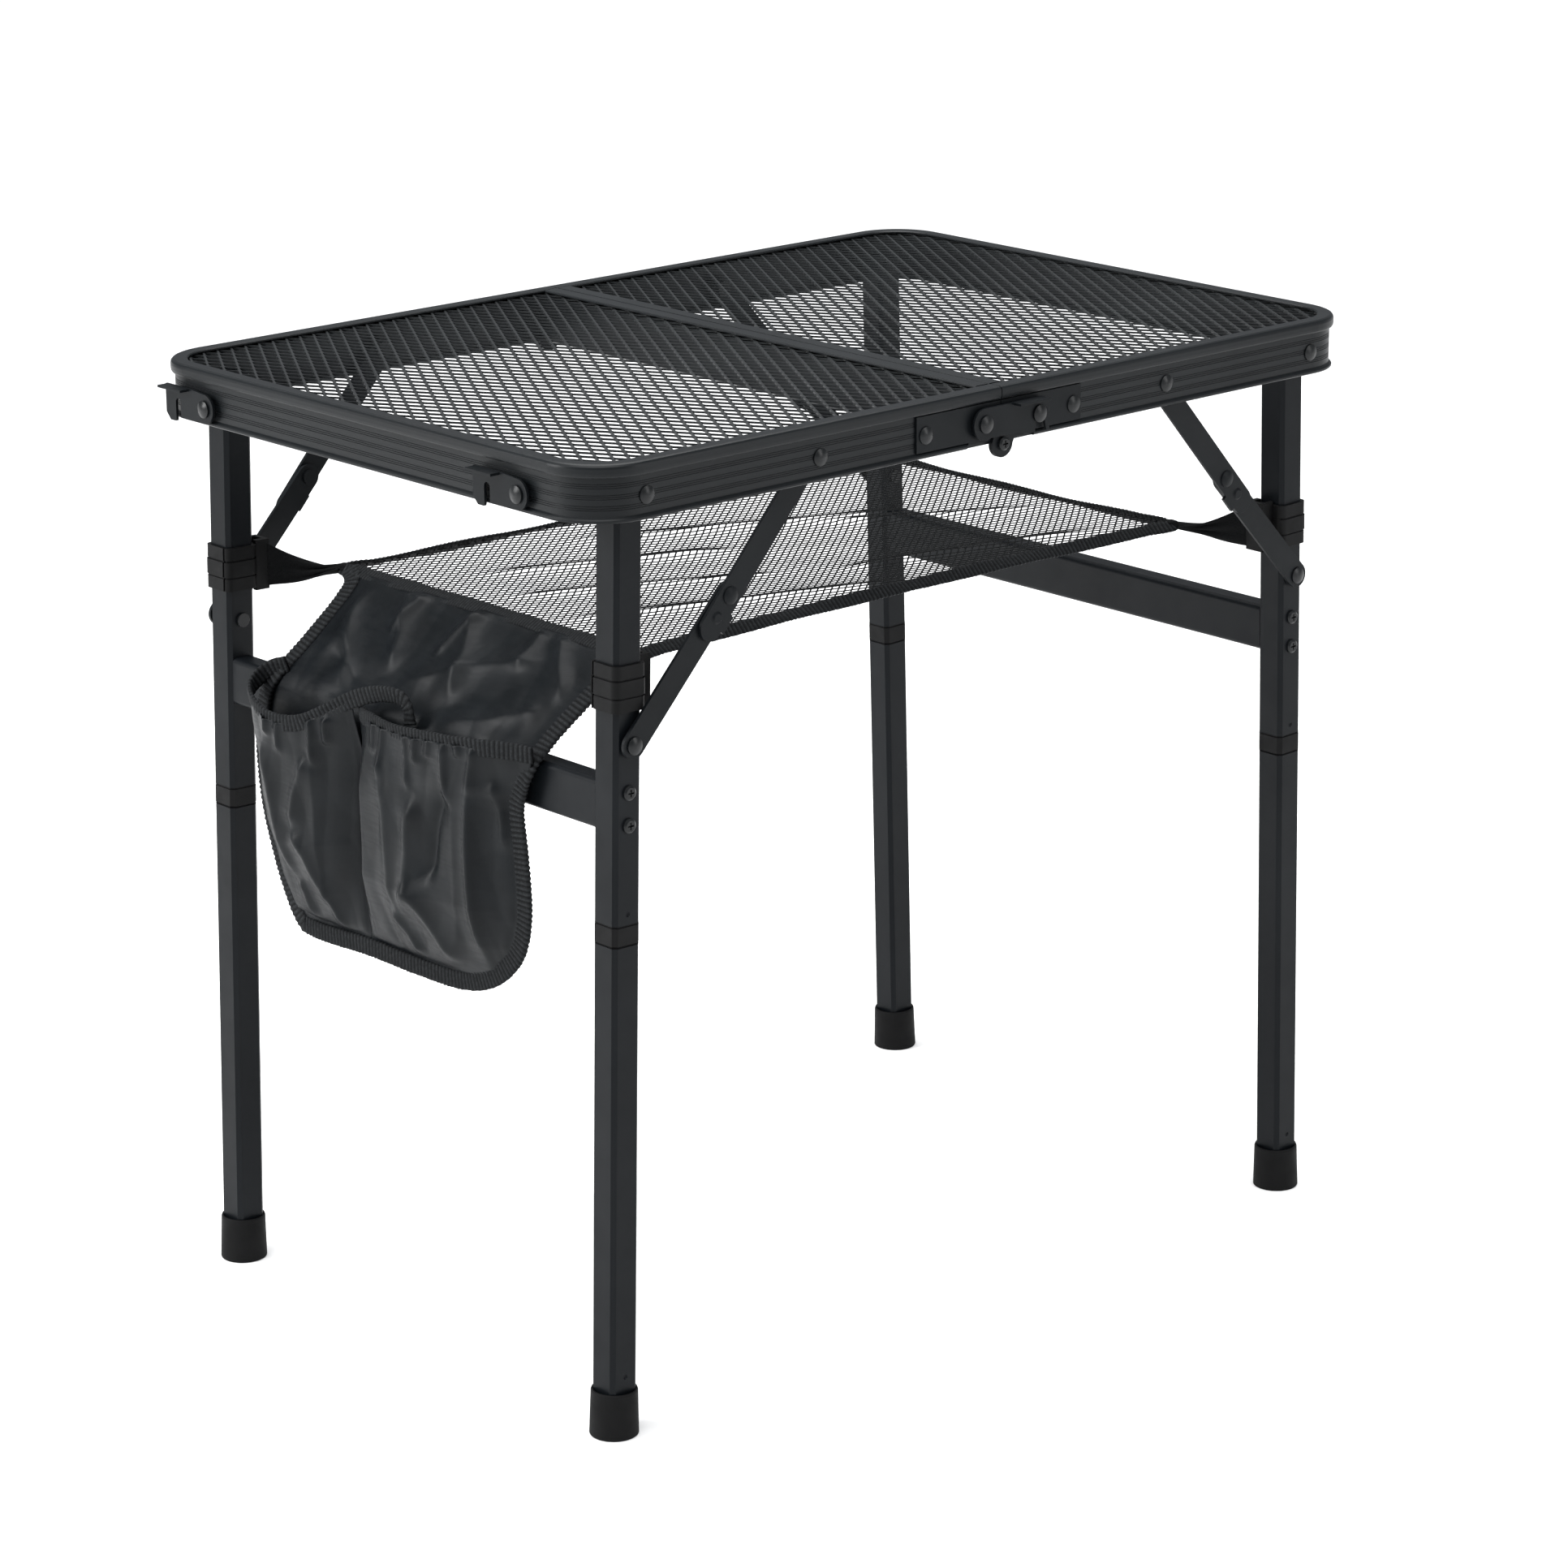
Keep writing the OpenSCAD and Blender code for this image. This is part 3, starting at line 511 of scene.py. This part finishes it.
def net_binding(side, sign):
    """Folded tape round three edges of one half of the net."""
    run = np.linspace(0, 1, 60)
    u = np.concatenate([run, np.ones(60), run[::-1]])
    v = np.concatenate([np.ones(60), 1 - 2 * run, -np.ones(60)])
    edge = net_point(u * sign, v)
    path = smooth_path(np.vstack([edge[::6], edge[-1:]]), TAPE_STEP)
    inward = -path * np.array([0.5, 1, 0])
    across = unit(inward)
    across[:, 2] += BINDING_LEAN + BINDING_SWAY * np.sin(np.arange(len(path)) * 0.09)
    tape = webbing(f"net_binding_{side}", path, across, NET_TAPE)
    squash_with_legs(tape, side)
    return tape


def corner_strap(side, sign, end, way):
    """Webbing from a shelf clip, gathered into the net's corner."""
    low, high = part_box(f"{side}_{end}_clip")
    clip_x = (high.x if sign < 0 else low.x) + sign * 3 * MM
    clip = np.array([clip_x, way * (min(abs(low.y), abs(high.y)) + 4 * MM), (low.z + high.z) / 2])
    corner = np.array([sign * (NET_X + 1 * MM), way * (NET_Y + 1 * MM), NET_Z])
    rows, columns = 26, 15
    t = np.linspace(0, 1, rows)[:, None]
    s = np.linspace(-1, 1, columns)[None, :]
    half = STRAP_HALF * (1 - t) ** 1.5 + GATHERED_HALF
    turn = STRAP_TURN * t ** 2
    pleat = PLEAT_HEIGHT * np.sin(s * 7.5 + 0.6) * t
    along = unit(corner - clip)
    side_way = unit(np.cross([0, 0, 1], along))
    centre = clip + (corner - clip) * t[..., None]
    centre = centre - np.array([0, 0, STRAP_SAG]) * np.sin(t * math.pi)[..., None]
    flat = s * half
    up = flat * np.cos(turn) - pleat * np.sin(turn)
    off = flat * np.sin(turn) + pleat * np.cos(turn)
    points = centre + np.array([0, 0, 1.0]) * up[..., None] + side_way * off[..., None]
    faces = grid_faces(rows, columns)
    strap = build(f"shelf_strap_{side}_{end}", points.reshape(-1, 3), faces, WEBBING)
    thicken(strap, STRAP_THICK)
    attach(strap, f"{side}_legs")
    return strap


def knot(side, sign, end, way):
    """Stitched bunch where strap, bindings and net meet."""
    centre = np.array([sign * (NET_X - 1 * MM), way * (NET_Y - 1 * MM), NET_Z])
    rings, around = 14, 18
    phi = np.linspace(0, math.pi, rings)[:, None]
    theta = np.linspace(0, 2 * math.pi, around, endpoint=False)[None, :]
    bump = 1 + 0.14 * np.sin(theta * 5 + phi * 4) + 0.1 * np.sin(phi * 9)
    r = np.sin(phi) * bump
    unit_lump = np.stack([r * np.cos(theta), r * np.sin(theta), np.cos(phi) + 0 * theta], axis=-1)
    turn = math.atan2(way, sign)
    c, s = math.cos(turn), math.sin(turn)
    spun = (unit_lump * KNOT_HALF) @ np.array([[c, s, 0], [-s, c, 0], [0, 0, 1.0]])
    lump = build(f"shelf_knot_{side}_{end}", (spun + centre).reshape(-1, 3),
                 grid_faces(rings, around, wrap=True), WEBBING)
    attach(lump, f"{side}_legs")
    return lump


def net_shelf():
    for side, sign in SIDES:
        net, area = net_half(side, sign)
        going = [net_binding(side, sign)]
        for end, way in (("front", -1), ("back", 1)):
            going += [corner_strap(side, sign, end, way), knot(side, sign, end, way)]
        if side == "left":
            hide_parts("shelf_net")
            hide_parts("shelf_binding")
            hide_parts("shelf_straps")


# ---------------------------------------------------------------- organiser
# the sheet's run in the XZ plane: from the net's end, over the rail, down to the hem
SHEET_RUN = smooth_path([(-0.2165, 0.4320), (-0.232, 0.4195), (-0.250, 0.4040), (-0.264, 0.3905),
                         (-0.2735, 0.3815), (-0.2775, 0.372), (-0.2785, 0.350), (-0.2785, 0.300),
                         (-0.2780, 0.262), (-0.2775, 0.237)], SHEET_STEP)
# edges of the sheet: (height, Y) down each side
LEFT_EDGE = np.array([(0.432, 0.122), (0.428, 0.113), (0.419, 0.110), (0.404, 0.111), (0.392, 0.114),
                      (0.382, 0.117), (0.371, 0.122), (0.350, 0.126), (0.325, 0.126), (0.298, 0.122),
                      (0.265, 0.111), (0.245, 0.101), (0.2365, 0.094), (0.235, 0.090)])
RIGHT_EDGE = np.array([(0.432, -0.130), (0.424, -0.128), (0.406, -0.123), (0.390, -0.118),
                       (0.376, -0.116), (0.364, -0.111), (0.350, -0.108), (0.327, -0.111),
                       (0.302, -0.113), (0.285, -0.112), (0.268, -0.106), (0.253, -0.092),
                       (0.243, -0.074), (0.2375, -0.050)])
SEAM_Y = 0.028
HEM_Z = 0.2365
LEFT_MOUTH = [(-0.2725, 0.110, 0.3880), (-0.2765, 0.1190, 0.3845), (-0.2830, 0.1235, 0.3795),
              (-0.2915, 0.1210, 0.3735), (-0.2975, 0.1090, 0.3690), (-0.3005, 0.0900, 0.3645),
              (-0.2985, 0.0680, 0.3665), (-0.2930, 0.0480, 0.3755), (-0.2870, 0.0300, 0.3860),
              (-0.2835, 0.0120, 0.3925), (-0.2820, -0.0060, 0.3945), (-0.2815, -0.0140, 0.3900),
              (-0.2815, -0.0165, 0.3800)]
RIGHT_MOUTH = [(-0.2830, 0.0275, 0.3780), (-0.2890, 0.0100, 0.3785), (-0.2940, -0.0200, 0.3790),
               (-0.2950, -0.0550, 0.3820), (-0.2905, -0.0880, 0.3845), (-0.2835, -0.1080, 0.3850),
               (-0.2790, -0.1215, 0.3845)]
SLOPE_FOLDS = [
    (0.100, 0.010, 0.062, 0.075, 7 * MM, 3.0 * MM),
    (0.060, -0.004, 0.030, 0.056, 6 * MM, 3.0 * MM),
    (0.045, -0.003, 0.050, 0.034, 4 * MM, 2.4 * MM),
    (0.000, -0.004, -0.032, 0.064, 7 * MM, 3.4 * MM),
    (-0.010, -0.003, 0.006, 0.040, 4 * MM, 2.4 * MM),
    (-0.070, -0.004, -0.112, 0.044, 6 * MM, 2.6 * MM),
    (-0.060, 0.000, -0.064, 0.032, 4 * MM, 2.0 * MM),
    (0.020, 0.060, -0.080, 0.018, 8 * MM, 3.0 * MM),
    (0.092, 0.050, 0.020, 0.080, 8 * MM, -3.0 * MM),
    (-0.030, 0.078, -0.110, 0.048, 8 * MM, 2.6 * MM),
]


def sheet_back():
    """The one long panel: net end, over the rail, down behind the pockets."""
    run = SHEET_RUN
    rows, columns = len(run), 150
    lengths = np.r_[0, np.cumsum(np.linalg.norm(np.diff(run, axis=0), axis=1))]
    left, right = left_side(run[:, 1]), right_side(run[:, 1])
    t = np.linspace(0, 1, columns)[None, :]
    y = left[:, None] + (right - left)[:, None] * t
    s = np.repeat(lengths[:, None], columns, axis=1)
    tangent = unit(np.gradient(run, axis=0))
    normal = np.stack([tangent[:, 1], -tangent[:, 0]], axis=1)
    fade = np.clip(s / 0.006, 0, 1) * np.clip(np.minimum(t, 1 - t) * 12, 0, 1)
    height = SLOPE_FOLD_GAIN * creases(y, s, SLOPE_FOLDS)
    height = height + crinkles(y, s * 0.6, 10 * MM, SLOPE_CRINKLE)
    smoothed = np.clip(1 - (s - SLOPE_LENGTH) / (12 * MM), 0, 1)
    height = np.maximum(height * smoothed * fade, DEEPEST_DENT)
    x = run[:, 0][:, None] + normal[:, 0][:, None] * height
    z = run[:, 1][:, None] + normal[:, 1][:, None] * height
    points = np.stack([x, y, z], axis=-1)
    back = build("organiser_panel", points.reshape(-1, 3), grid_faces(rows, columns), LOOKS["cloth"])
    thicken(back)
    return back, lengths[-1]


def thicken(obj, thick=CLOTH_THICK):
    solid = obj.modifiers.new("thickness", "SOLIDIFY")
    solid.thickness = thick
    solid.offset = 0


def pocket(name, mouth, sides, bulge, folds, rows=110, columns=110):
    """A pocket front: from its mouth's curve down to the hem, sewn along both sides."""
    mouth = smooth_path(mouth, 1 * MM)
    at = np.linspace(0, 1, columns)
    along = np.linspace(0, 1, len(mouth))
    line = np.stack([np.interp(at, along, mouth[:, k]) for k in range(3)], axis=1)
    v = np.linspace(0, 1, rows)[:, None]
    u = at[None, :]
    start, finish = sides
    z_side = np.stack([line[:, 2] + (HEM_Z + 1 * MM - line[:, 2]) * k for k in v[:, 0]])
    y_a, y_b = start(z_side[:, :1]), finish(z_side[:, -1:])
    y_sewn = y_a + (y_b - y_a) * u
    blend = np.clip(v * 5, 0, 1) ** 0.7
    y = line[:, 1][None, :] * (1 - blend) + y_sewn * blend
    depth = bulge(u, v) * np.clip(u * 25, 0, 1) * np.clip((1 - u) * 25, 0, 1)
    x_sewn = SEWN_X - depth
    soft = np.clip(v * 3.2, 0, 1)
    soft = soft * soft * (3 - 2 * soft)
    x = line[:, 0][None, :] * (1 - soft) + x_sewn * soft
    edge = np.clip(np.minimum(u, 1 - u) * 14, 0, 1) * np.clip((1 - v) * 10, 0, 1)
    relief = POCKET_FOLD_GAIN * creases(y, z_side, folds)
    x = x - edge * (relief + crinkles(y, z_side * 0.35, 9 * MM, POCKET_CRINKLE))
    points = np.stack([np.minimum(x, BACK_X), y, z_side], axis=-1)
    front = build(name, points.reshape(-1, 3), grid_faces(rows, columns), LOOKS["cloth"])
    thicken(front)
    return front


def left_bulge(u, v):
    """Depth of the left pocket: u runs from its outer side to the seam."""
    across = np.clip(u / 0.25, 0, 1) ** 0.6 * np.clip((1 - u) / 0.3, 0, 1) ** 0.8
    return LEFT_DEPTH * across * np.clip((0.955 - v) * 2.6, 0, 1) ** 0.6


def right_bulge(u, v):
    """Depth of the right pocket: u runs from the seam to its outer side."""
    across = np.clip(u / 0.1, 0, 1) ** 0.6 * np.clip((0.955 - u) / 0.26, 0, 1) ** 0.9
    return RIGHT_DEPTH * across * np.clip((0.955 - v) * 3.2, 0, 1) ** 0.6


def gathers(y_first, y_last, z_top, count, length):
    """Short upright folds under a gathered mouth."""
    folds = []
    for k in range(count):
        y = y_first + (y_last - y_first) * (k + 0.5) / count
        drop = length * (0.6 + 0.4 * math.sin(k * 2.4))
        folds.append((y, z_top, y + 2.5 * MM * math.sin(k * 1.7), z_top - drop, 2.6 * MM, 2.0 * MM))
    return folds


LEFT_FOLDS = gathers(0.100, 0.040, 0.375, 5, 0.036) + [
    (0.104, 0.352, 0.080, 0.262, 8 * MM, 3.2 * MM),
    (0.062, 0.350, 0.078, 0.300, 6 * MM, 3.0 * MM),
    (0.078, 0.305, 0.050, 0.262, 7 * MM, 3.2 * MM),
    (0.112, 0.315, 0.085, 0.250, 7 * MM, -2.6 * MM),
    (0.055, 0.270, 0.045, 0.242, 4 * MM, 2.2 * MM),
    (0.078, 0.270, 0.072, 0.242, 4 * MM, 2.2 * MM),
]
RIGHT_FOLDS = gathers(0.010, -0.090, 0.386, 9, 0.042) + [
    (-0.005, 0.366, -0.020, 0.262, 8 * MM, 3.0 * MM),
    (-0.036, 0.350, -0.028, 0.270, 7 * MM, 3.4 * MM),
    (-0.060, 0.358, -0.045, 0.295, 6 * MM, -3.0 * MM),
    (-0.030, 0.296, -0.062, 0.250, 7 * MM, 3.2 * MM),
    (-0.080, 0.374, -0.084, 0.250, 5 * MM, 4.0 * MM),
    (-0.012, 0.276, -0.030, 0.246, 4 * MM, 2.4 * MM),
    (-0.095, 0.368, -0.104, 0.325, 5 * MM, 2.6 * MM),
]


def left_side(z):
    return np.interp(-z, -LEFT_EDGE[:, 0], LEFT_EDGE[:, 1])


def right_side(z):
    return np.interp(-z, -RIGHT_EDGE[:, 0], RIGHT_EDGE[:, 1])


def seam(z):
    return np.full_like(z, SEAM_Y)


def sheet_x(z):
    """X of the sheet at height z."""
    return np.interp(-z, -SHEET_RUN[:, 1], SHEET_RUN[:, 0])


def hem_path():
    """The sheet's outer edge: down the left side, along the hem and up the right side."""
    left = [(sheet_x(z), y, z) for z, y in LEFT_EDGE]
    hem = [(-0.2785, 0.070, 0.2350), (-0.2785, 0.030, 0.2370), (-0.2785, -0.010, 0.2368)]
    right = [(sheet_x(z), y, z) for z, y in RIGHT_EDGE[::-1]]
    path = smooth_path(left + hem + right, TAPE_STEP)
    path[:, 0] -= np.where(path[:, 2] < 0.385, 1.6 * MM, 0)
    return path


def binding_across(path):
    """The tape lies in the cloth: its width runs square to the edge, along the sheet."""
    tangent = unit(np.gradient(SHEET_RUN, axis=0))
    at = -path[:, 2]
    slope = np.stack([np.interp(at, -SHEET_RUN[:, 1], tangent[:, k]) for k in range(2)], axis=1)
    normal = np.stack([slope[:, 1], 0 * at, -slope[:, 0]], axis=1)
    return np.cross(unit(normal), unit(np.gradient(path, axis=0)))


def mouth_tape(name, points):
    """Folded tape over a pocket's mouth; it stands upright and leans in and out a little."""
    path = smooth_path(points, TAPE_STEP)
    lean = np.tile(np.array([0, 0, 1.0]), (len(path), 1))
    lean[:, 0] += np.sin(np.arange(len(path)) * 0.16) * 0.12 - 0.1
    return webbing(f"organiser_mouth_{name}", path, lean, MOUTH_TAPE)


def join_tape():
    """Tape that joins the organiser to the end of the net."""
    y = np.linspace(0.120, -0.128, 226)
    z = 0.4318 + 0.7 * MM * np.sin(y * 120)
    path = np.stack([np.full_like(y, -0.2155), y, z], axis=1)
    across = np.tile([1.0, 0, 0.55], (len(path), 1))
    return webbing("organiser_join", path, across, JOIN_TAPE)


def organiser():
    back, length = sheet_back()
    left = pocket("organiser_pocket_left", LEFT_MOUTH[3:9], (left_side, seam), left_bulge, LEFT_FOLDS)
    right = pocket("organiser_pocket_right", RIGHT_MOUTH, (seam, right_side), right_bulge, RIGHT_FOLDS)
    edge = hem_path()
    tape = webbing("organiser_binding_edge", edge, binding_across(edge), EDGE_TAPE)
    left_mouth = mouth_tape("left", LEFT_MOUTH)
    right_mouth = mouth_tape("right", RIGHT_MOUTH)
    join = join_tape()
    for piece in (back, left, right, tape, join, left_mouth, right_mouth):
        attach(piece, "left_legs")
    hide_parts("organiser_sheet")
    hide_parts("organiser_pockets")
    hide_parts("organiser_binding")


# ---------------------------------------------------------------- camera, lights, floor
CAMERA_ANGLES = (-42.111, 17.103, -0.303)
CAMERA_PLACE = (-1.8567, -2.0705, 1.1383)
CAMERA_LENS = 110.37

# name, place, target, size and power of each soft box
AREA_LIGHTS = [
    ("top", (0.3, 0.6, 2.6), (0, 0, 0.3), (2.2, 1.6), 55),
    ("left", (-2.4, 1.2, 1.5), (0, 0, 0.35), (0.9, 1.8), 70),
    ("front", (1.4, -2.8, 1.3), (0, 0, 0.3), (0.9, 1.6), 20),
]
SUN_POWER = 2.9
SUN_SPREAD = math.radians(60)
SKY_COLOUR = (0.93, 0.96, 1.0, 1)
SKY_STRENGTH = 0.32
FLOOR_REACH = 30
FLOOR_DROP = 0.2 * MM


def camera():
    """A camera that looks from an azimuth and elevation, with a slight roll."""
    azimuth, elevation, roll = (math.radians(angle) for angle in CAMERA_ANGLES)
    back = Vector((math.sin(azimuth) * math.cos(elevation),
                   -math.cos(azimuth) * math.cos(elevation), math.sin(elevation)))
    right = Vector((math.cos(azimuth), math.sin(azimuth), 0))
    up = back.cross(right)
    right, up = (right * math.cos(roll) + up * math.sin(roll),
                 up * math.cos(roll) - right * math.sin(roll))
    data = bpy.data.cameras.new("camera")
    data.sensor_width = 36
    data.lens = CAMERA_LENS
    data.clip_start, data.clip_end = 0.05, 60
    obj = bpy.data.objects.new("camera", data)
    turn = Matrix((right, up, back)).transposed()
    obj.matrix_world = Matrix.Translation(CAMERA_PLACE) @ turn.to_4x4()
    bpy.context.scene.collection.objects.link(obj)
    bpy.context.scene.camera = obj


def area_light(name, place, target, size, power):
    data = bpy.data.lights.new(name, "AREA")
    data.shape = "RECTANGLE"
    data.size, data.size_y = size
    data.energy = power
    obj = bpy.data.objects.new(name, data)
    obj.location = place
    obj.rotation_mode = "QUATERNION"
    obj.rotation_quaternion = (Vector(target) - Vector(place)).to_track_quat("-Z", "Y")
    bpy.context.scene.collection.objects.link(obj)


def studio():
    world = bpy.data.worlds.new("studio")
    world.use_nodes = True
    sky = world.node_tree.nodes["Background"]
    sky.inputs["Color"].default_value = SKY_COLOUR
    sky.inputs["Strength"].default_value = SKY_STRENGTH
    bpy.context.scene.world = world
    for light in AREA_LIGHTS:
        area_light(*light)
    sun = bpy.data.lights.new("sun", "SUN")
    sun.energy = SUN_POWER
    sun.angle = SUN_SPREAD
    lamp = bpy.data.objects.new("sun", sun)
    lamp.rotation_euler = (math.radians(12), math.radians(-14), 0)
    bpy.context.scene.collection.objects.link(lamp)


def floor():
    n = Nodes("pale_floor")
    look = n.finish(n.colours(n.between(n.noise(3), 0, 1), (0.90, 0.90, 0.90), (0.93, 0.93, 0.93)), 0.8)
    reach = FLOOR_REACH
    corners = [(-reach, -reach, 0), (reach, -reach, 0), (reach, reach, 0), (-reach, reach, 0)]
    plane = build("floor", corners, [(0, 1, 2, 3)], look, smooth=False)
    plane.location.z = -FLOOR_DROP


camera()
studio()
floor()
dress_cad()
for side, sign in SIDES:
    expanded_metal(side, sign)
net_shelf()
organiser()
bpy.context.scene.view_settings.view_transform = "Standard"
